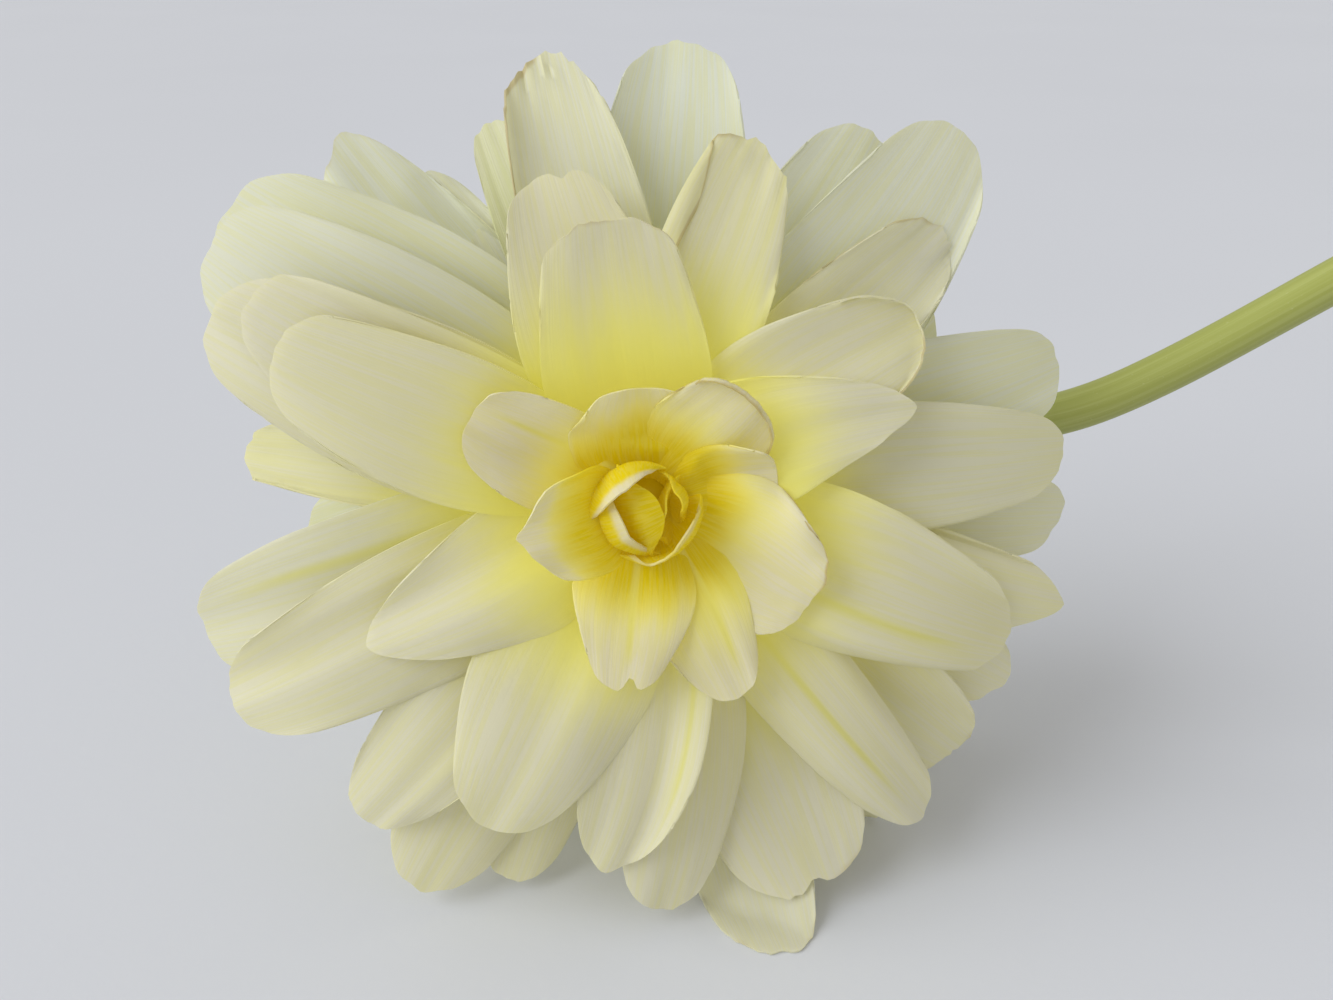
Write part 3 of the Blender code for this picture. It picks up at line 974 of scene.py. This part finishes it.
def petal_finish(name, glow, glow_share, specular):
    """Soft petal skin: ivory with a lemon root, fine veins, dry rims, a painted glow from its lemon parts and
    light that shines through.
    """
    colours = bpy.context.scene.bloom_colours
    lemon = tuple(colours.lemon)
    finish = Finish(name)
    across, along = finish.piece_map()
    tone = finish.attribute("tone")
    fibre = drawn_out(finish, across, along, tone, FIBRE_PATTERN, 2.0)
    band = drawn_out(finish, across, along, tone, BAND_PATTERN, 1.0)
    veins = finish.smooth(1.0 - abs(fibre * 2.0 - 1.0), *VEINS)
    blotch = finish.noise(finish.place(), scale=BLOTCH_RATE)
    # The yellow value holds both the real lemon root and the painted shade under other petals
    warm = finish.smooth(finish.attribute("yellow") + (band - 0.5) * SWAY, *LEMON_RANGE)
    rich = finish.smooth(finish.attribute("deep") + (band - 0.5) * SWAY, *DEEP_RANGE)
    colour = finish.mix(tuple(colours.ivory), tuple(colours.pale), finish.attribute("pale"))
    colour = finish.mix(colour, lemon, warm)
    colour = finish.mix(colour, tuple(colours.deep), rich)
    colour = finish.mix(colour, lemon, veins * VEIN_LEMON + (tone - TONE_MIDDLE) * TONE_LEMON)
    # Lemon streaks: real veins on most petals, and on the front petal at 337 degrees a painted shade line
    # along its ridge
    aside = abs(across - finish.attribute("streak") + (band - 0.5) * STREAK_WANDER)
    streak = (1.0 - finish.smooth(aside, 0.0, STREAK_WIDTH)) * STREAK_LEMON
    colour = finish.mix(colour, lemon, streak * (1.0 - finish.smooth(along, *STREAK_ENDS)))
    flushed = finish.attribute("green") * (GREEN_SHARE + veins * GREEN_VEINS)
    colour = finish.mix(colour, tuple(colours.green), flushed)
    withered = finish.smooth(finish.attribute("dry") + (blotch - 0.5) * SWAY, *WITHERED_RANGE)
    colour = finish.mix(colour, tuple(colours.dry), withered * WITHERED_SHARE)
    relief = fibre * FIBRE_RELIEF + band * BAND_RELIEF
    normal = finish.bump(relief, bpy.context.scene.bloom.fibres, RELIEF_SHARE)
    roughness = PETAL_ROUGHNESS + fibre * FIBRE_ROUGHNESS + withered * DRY_ROUGHNESS
    # Painted glow: the lemon parts emit their own colour weakly, less where deep yellow, in place of light
    # scattered in the petal
    painted_glow = finish.mix(BLACK, colour, warm * (1.0 - rich * DEEP_PAINTED_GLOW_LOSS))
    skin = finish.principled(colour, roughness, normal, specular, painted_glow)
    through = finish.node("ShaderNodeBsdfTranslucent", inputs={"Color": glow, "Normal": normal})
    both = finish.node("ShaderNodeMixShader", inputs={0: glow_share, 1: skin, 2: through})
    return finish.show(both)


def core_finish():
    """The fleshy middle: deep yellow, and green in patches towards its back, with a fine grain."""
    colours = bpy.context.scene.bloom_colours
    finish = Finish("core flesh")
    grain = finish.noise(finish.place(), scale=GRAIN_RATE, detail=4.0)
    patch = finish.noise(finish.place(), scale=CORE_PATCH_RATE)
    green = finish.mix(tuple(colours.stalk), tuple(colours.green), finish.smooth(patch, *CORE_PATCHES))
    colour = finish.mix(tuple(colours.deep), green, finish.attribute("back"))
    roughness = CORE_ROUGHNESS[0] + grain * CORE_ROUGHNESS[1]
    return finish.show(finish.principled(colour, roughness, finish.bump(grain, *CORE_RELIEF), CORE_SPECULAR))


def stalk_finish():
    """Smooth green skin with pale lengthwise lines, small pores, and a paler cut end with a darker ring."""
    finish = Finish("stalk skin")
    around, along = finish.piece_map()
    stretched = finish.flat(around * LINE_RATES[0], along * LINE_RATES[1])
    lines = finish.noise(stretched, detail=3.0, roughness=0.6)
    spots = finish.noise(finish.flat(around * SPOT_RATES[0], along * SPOT_RATES[1]))
    colour = tuple(bpy.context.scene.bloom_colours.stalk)
    for pattern, (mark, reach, share) in ((lines, PALE_LINES), (1.0 - lines, GROOVES), (spots, PORES)):
        colour = finish.mix(colour, mark, finish.smooth(pattern, *reach) * share)
    cut = finish.attribute("cut")
    ring = finish.smooth(cut, *CUT_RING_STARTS) * (1.0 - finish.smooth(cut, *CUT_RING_ENDS))
    flesh = finish.mix(CUT_FLESH, CUT_RING, ring)
    colour = finish.mix(colour, flesh, finish.smooth(cut, *CUT_STARTS))
    normal = finish.bump(lines * LINE_RELIEF + spots * PORE_RELIEF, *STALK_RELIEF)
    roughness = STALK_ROUGHNESS[0] + lines * STALK_ROUGHNESS[1]
    return finish.show(finish.principled(colour, roughness, normal, STALK_SPECULAR))


def floor_finish():
    """A plain pale floor with the least unevenness."""
    finish = Finish("floor paper")
    colour = tuple(bpy.context.scene.flower_stage.floor_colour)
    dim = tuple(channel * FLOOR_DIM for channel in colour[:3]) + (1.0,)
    shade = finish.noise(finish.place(), scale=FLOOR_SHADE_RATE)
    normal = finish.bump(finish.noise(finish.place(), scale=GRAIN_RATE), *FLOOR_RELIEF)
    paper = finish.mix(colour, dim, shade)
    return finish.show(finish.principled(paper, FLOOR_ROUGHNESS, normal, FLOOR_SPECULAR))


def order_faces(bm):
    """Puts a mesh's faces in one order, because spin makes them in a different one each time."""
    bm.verts.index_update()
    ordered = sorted(bm.faces, key=lambda face: sorted(vert.index for vert in face.verts))
    for index, face in enumerate(ordered):
        face.index = index
    bm.faces.sort()


def turned(name, profile, material, node):
    """Makes a closed piece by turning a profile round the flower's axis, and marks its back."""
    bm = bmesh.new()
    spokes = [bm.verts.new((radius * MM, 0.0, height * MM)) for radius, height in profile]
    edges = [bm.edges.new(pair) for pair in zip(spokes, spokes[1:])]
    bmesh.ops.subdivide_edges(bm, edges=edges, cuts=CORE_CUTS)
    bmesh.ops.spin(
        bm,
        geom=bm.verts[:] + bm.edges[:],
        cent=(0.0, 0.0, 0.0),
        axis=(0.0, 0.0, 1.0),
        angle=2.0 * math.pi,
        steps=CORE_SIDES,
        use_merge=True,
    )
    bmesh.ops.remove_doubles(bm, verts=bm.verts, dist=MERGE)
    bmesh.ops.recalc_face_normals(bm, faces=bm.faces)
    order_faces(bm)
    layer = bm.verts.layers.float.new("back")
    for vert in bm.verts:
        vert[layer] = 1.0 - step(vert.co.z, *CORE_BACK)
    bm.transform(FLOWER)
    piece = finished(name, bm, material)
    smooth_piece(piece)
    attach(piece, BODY)
    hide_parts(node)


def route_places():
    """Places close together along the stalk's middle line, on a smooth curve through its route."""
    points = [Vector(point) * MM for point in STALK_ROUTE]
    points = [points[0] * 2.0 - points[1]] + points + [points[-1] * 2.0 - points[-2]]
    places = []
    spans = len(STALK_ROUTE) - 1
    for ring in range(STALK_RINGS + 1):
        share = ring / STALK_RINGS * spans
        span = min(int(share), spans - 1)
        t = share - span
        a, b, c, d = points[span : span + 4]
        straight = b * 2.0 + (c - a) * t
        bent = (a * 2.0 - b * 5.0 + c * 4.0 - d) * t**2
        swung = (b * 3.0 - a - c * 3.0 + d) * t**3
        places.append((straight + bent + swung) / 2.0)
    return places


def stalk_girth(share, base):
    """The stalk's radius at a share of its route: flared where it joins the core."""
    at = share * (len(STALK_ROUTE) - 1)
    if at >= len(STALK_FLARE) - 1:
        return base
    span = int(at)
    return base * (STALK_FLARE[span] + (STALK_FLARE[span + 1] - STALK_FLARE[span]) * (at - span))


def map_stalk(bm):
    """Gives the stalk's faces their map: the share of a turn round it, and the share of its length."""
    uv = bm.loops.layers.uv.new(PIECE_UV)
    for face in bm.faces:
        middle = face.calc_center_median()
        at_seam = middle.y < 0.0 and middle.x < 0.0 and abs(middle.y) < abs(middle.x)
        for loop in face.loops:
            turn = math.atan2(loop.vert.co.y, loop.vert.co.x) / (2.0 * math.pi) + 0.5
            if at_seam and turn > MAP_SEAM:
                turn -= 1.0
            loop[uv].uv = (turn, loop.vert.co.z + 0.5)


def stalk_tube(sizes):
    """The stalk's mesh: a cylinder cut into rings, with a set-in cut end, laid along the route."""
    places = route_places()
    bm = bmesh.new()
    cut = bm.verts.layers.float.new("cut")
    bmesh.ops.create_cone(
        bm, cap_ends=True, segments=sizes.sides, radius1=1.0, radius2=1.0, depth=1.0, calc_uvs=False
    )
    long_edges = [edge for edge in bm.edges if abs(edge.verts[0].co.z - edge.verts[1].co.z) > 0.5]
    bmesh.ops.subdivide_edges(bm, edges=long_edges, cuts=STALK_RINGS - 1, use_grid_fill=True)
    ends = [face for face in bm.faces if len(face.verts) == sizes.sides]
    end = max(ends, key=lambda face: face.calc_center_median().z)
    for width, level in CUT_RINGS:
        bmesh.ops.inset_region(bm, faces=[end], thickness=width, use_even_offset=True)
        for vert in end.verts:
            vert[cut] = level
    map_stalk(bm)
    side = Vector((0.0, 1.0, 0.0))
    directions = []
    for ring in range(STALK_RINGS + 1):
        forward = (places[min(ring + 1, STALK_RINGS)] - places[max(ring - 1, 0)]).normalized()
        side = (side - forward * side.dot(forward)).normalized()
        directions.append((forward, side))
    for vert in bm.verts:
        ring = round((vert.co.z + 0.5) * STALK_RINGS)
        turn = math.atan2(vert.co.y, vert.co.x)
        share = ring / STALK_RINGS
        girth = stalk_girth(share, sizes.radius) * math.hypot(vert.co.x, vert.co.y)
        ribs = math.cos(STALK_RIBS * turn + RIB_TURN * share)
        girth += sizes.ribs * ribs * step(vert.co.xy.length, *RIBS_FROM)
        girth += STALK_UNEVEN * hills(share * STALK_UNEVEN_RATE, math.cos(turn), math.sin(turn))
        forward, across = directions[ring]
        up = forward.cross(across)
        place = places[ring] + (across * math.cos(turn) + up * math.sin(turn)) * girth
        vert.co = FLOWER @ (place - forward * vert[cut] * CUT_DEPTH)
    bmesh.ops.recalc_face_normals(bm, faces=bm.faces)
    return bm


class FLOWER_OT_bud(bpy.types.Operator):
    """Small cupped petals closed round the middle of the heart"""

    bl_idname = "flower.bud"
    bl_label = "Bud petals"

    def execute(self, context):
        skin = petal_finish("bud petal", BUD_GLOW, HEART_GLOW_SHARE, HEART_SPECULAR)
        whorl("bud_petals", BUD_PETALS, skin, "heart", lies=False)
        return {"FINISHED"}


class FLOWER_OT_heart(bpy.types.Operator):
    """The rosette of small petals round the bud, and the top of the core under it"""

    bl_idname = "flower.heart"
    bl_label = "Heart petals"

    def execute(self, context):
        skin = petal_finish("heart petal", HEART_GLOW, HEART_GLOW_SHARE, HEART_SPECULAR)
        whorl("heart_petals", HEART_PETALS, skin, "heart")
        turned("heart_core", HEART_PROFILE, core_finish(), "heart")
        return {"FINISHED"}


class FLOWER_OT_petals(bpy.types.Operator):
    """The outer petals in their whorls, from the front to the rear, and the core that holds them"""

    bl_idname = "flower.petals"
    bl_label = "Outer petals"

    def execute(self, context):
        skin = petal_finish("outer petal", OUTER_GLOW, OUTER_GLOW_SHARE, OUTER_SPECULAR)
        for name, petals in (
            ("front_petals", FRONT_PETALS),
            ("middle_petals", MIDDLE_PETALS),
            ("back_petals", BACK_PETALS),
            ("guard_petals", GUARD_PETALS),
            ("rear_petals", REAR_PETALS),
        ):
            whorl(name, petals, skin, "petals")
        turned("bloom_core", CORE_PROFILE, core_finish(), "petals")
        return {"FINISHED"}


class FLOWER_OT_stalk(bpy.types.Operator):
    """The round stalk behind the bloom, to its cut end"""

    bl_idname = "flower.stalk"
    bl_label = "Stalk"

    def execute(self, context):
        piece = finished("flower_stalk", stalk_tube(context.scene.flower_stalk), stalk_finish())
        smooth_piece(piece)
        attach(piece, BODY)
        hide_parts("stalk")
        return {"FINISHED"}


class FLOWER_OT_stage(bpy.types.Operator):
    """Plain pale floor, soft light and the camera"""

    bl_idname = "flower.stage"
    bl_label = "Stage"

    def execute(self, context):
        stage = context.scene.flower_stage
        bm = bmesh.new()
        bmesh.ops.create_grid(bm, x_segments=FLOOR_CELLS, y_segments=FLOOR_CELLS, size=stage.floor_size)
        floor = finished("floor", bm, floor_finish())
        set_surround(stage)
        key = {"energy": stage.key_strength, "angle": KEY_SPREAD, "color": KEY_COLOUR}
        add_lamp("key", "SUN", key, Vector(), KEY_TOWARDS)
        fill = {"energy": stage.fill_power, "size": FILL_SIZE, "color": FILL_COLOUR}
        add_lamp("fill", "AREA", fill, FILL_PLACE, FILL_PLACE - CENTRE)
        add_camera(stage)
        return {"FINISHED"}


def set_surround(stage):
    """Even pale light from all round."""
    world = bpy.data.worlds.new("surround")
    world.use_nodes = True
    background = world.node_tree.nodes["Background"]
    background.inputs["Color"].default_value = stage.sky_colour
    background.inputs["Strength"].default_value = stage.sky_strength
    bpy.context.scene.world = world


def add_lamp(name, kind, settings, place, behind):
    """A lamp at a place, with its back turned in a direction."""
    light = bpy.data.lights.new(name, kind)
    for setting, value in settings.items():
        setattr(light, setting, value)
    lamp = bpy.data.objects.new(name, light)
    lamp.matrix_world = Matrix.Translation(place) @ behind.to_track_quat("Z", "Y").to_matrix().to_4x4()
    bpy.context.scene.collection.objects.link(lamp)


def add_camera(stage):
    """The camera at the photograph's angle, with the bloom's middle at its place in the picture."""
    right = Vector((1.0, 0.0, 0.0))
    up = Vector((0.0, math.sin(stage.tilt), math.cos(stage.tilt)))
    ahead = Vector((0.0, math.cos(stage.tilt), -math.sin(stage.tilt)))
    aside = (CENTRE_PIXEL[0] - IMAGE_WIDTH / 2.0) / FOCAL_PIXELS * stage.distance
    above = (IMAGE_HEIGHT / 2.0 - CENTRE_PIXEL[1]) / FOCAL_PIXELS * stage.distance
    eye = CENTRE - right * aside - up * above - ahead * stage.distance
    lens = bpy.data.cameras.new("camera")
    lens.sensor_width = SENSOR
    lens.lens = FOCAL_PIXELS / IMAGE_WIDTH * SENSOR
    lens.clip_start = NEAREST
    camera = bpy.data.objects.new("camera", lens)
    camera.matrix_world = Matrix.Translation(eye) @ Matrix((right, up, -ahead)).transposed().to_4x4()
    bpy.context.scene.collection.objects.link(camera)
    bpy.context.scene.camera = camera
    bpy.context.scene.view_settings.view_transform = "Standard"


OPERATORS = (FLOWER_OT_bud, FLOWER_OT_heart, FLOWER_OT_petals, FLOWER_OT_stalk, FLOWER_OT_stage)
SETTINGS = (
    ("bloom", BloomSettings),
    ("bloom_colours", ColourSettings),
    ("flower_stalk", StalkSettings),
    ("flower_stage", StageSettings),
)


class FLOWER_PT_panel(bpy.types.Panel):
    """The flower's settings and the buttons that make its pieces"""

    bl_idname = "FLOWER_PT_panel"
    bl_label = "Begonia flower"
    bl_space_type = "VIEW_3D"
    bl_region_type = "UI"
    bl_category = "Begonia"

    def draw(self, context):
        for name, group in SETTINGS:
            box = self.layout.box()
            for value in group.__annotations__:
                box.prop(getattr(context.scene, name), value)
        for operator in OPERATORS:
            self.layout.operator(operator.bl_idname)


CLASSES = tuple(group for _, group in SETTINGS) + OPERATORS + (FLOWER_PT_panel,)


def register():
    """Adds the classes and the scene's settings."""
    for made in CLASSES:
        bpy.utils.register_class(made)
    for name, group in SETTINGS:
        setattr(bpy.types.Scene, name, PointerProperty(type=group))


def unregister():
    """Takes the settings and the classes away."""
    for name, _ in SETTINGS:
        delattr(bpy.types.Scene, name)
    for made in reversed(CLASSES):
        bpy.utils.unregister_class(made)


def main():
    """Makes the flower piece by piece."""
    register()
    bpy.ops.flower.bud()
    bpy.ops.flower.heart()
    bpy.ops.flower.petals()
    bpy.ops.flower.stalk()
    bpy.ops.flower.stage()


if __name__ == "__main__":
    main()
